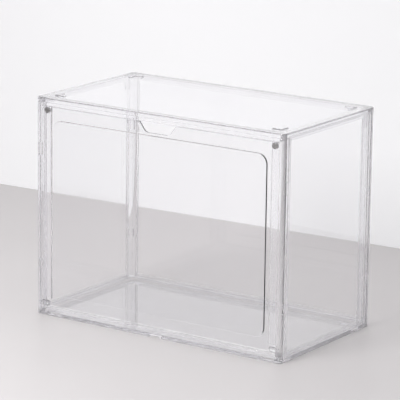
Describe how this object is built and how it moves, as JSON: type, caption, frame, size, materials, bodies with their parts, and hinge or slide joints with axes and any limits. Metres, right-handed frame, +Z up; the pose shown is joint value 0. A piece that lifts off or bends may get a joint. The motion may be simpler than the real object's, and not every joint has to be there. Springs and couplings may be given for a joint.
{
  "type": "shoe box",
  "caption": "Clear stackable shoe box with thick corner posts, stacking ridges on the lid, and a drop-front door with a finger scoop and magnets in its top corners.",
  "frame": {"origin": "middle of the footprint, on the surface that the feet stand on", "axes": "+X along the box's width to the right seen from the door, +Y from the door to the back, +Z up"},
  "size_m": [0.36, 0.2, 0.275],
  "materials": {
    "clear_moulding": "polished, crystal clear",
    "clear_sheet": "polished, crystal clear",
    "clear_door": "polished, crystal clear",
    "magnet_plating": "bright nickel plating"
  },
  "bodies": {
    "case": {"base_panel": "clear_moulding", "top_panel": "clear_moulding", "front_left_post": "clear_moulding", "front_right_post": "clear_moulding", "back_left_post": "clear_moulding", "back_right_post": "clear_moulding", "left_side_panel": "clear_sheet", "right_side_panel": "clear_sheet", "back_panel": "clear_sheet", "post_magnet_left": "magnet_plating", "post_magnet_right": "magnet_plating"},
    "door": {"front_door": "clear_door", "door_magnet_left": "magnet_plating", "door_magnet_right": "magnet_plating"}
  },
  "joints": [
    {"name": "door_hinge", "type": "hinge", "parent": "case", "child": "door", "pos_m": [0, -0.0966, 0.0156], "axis": [1, 0, 0], "range_deg": [0, 90]}
  ]
}
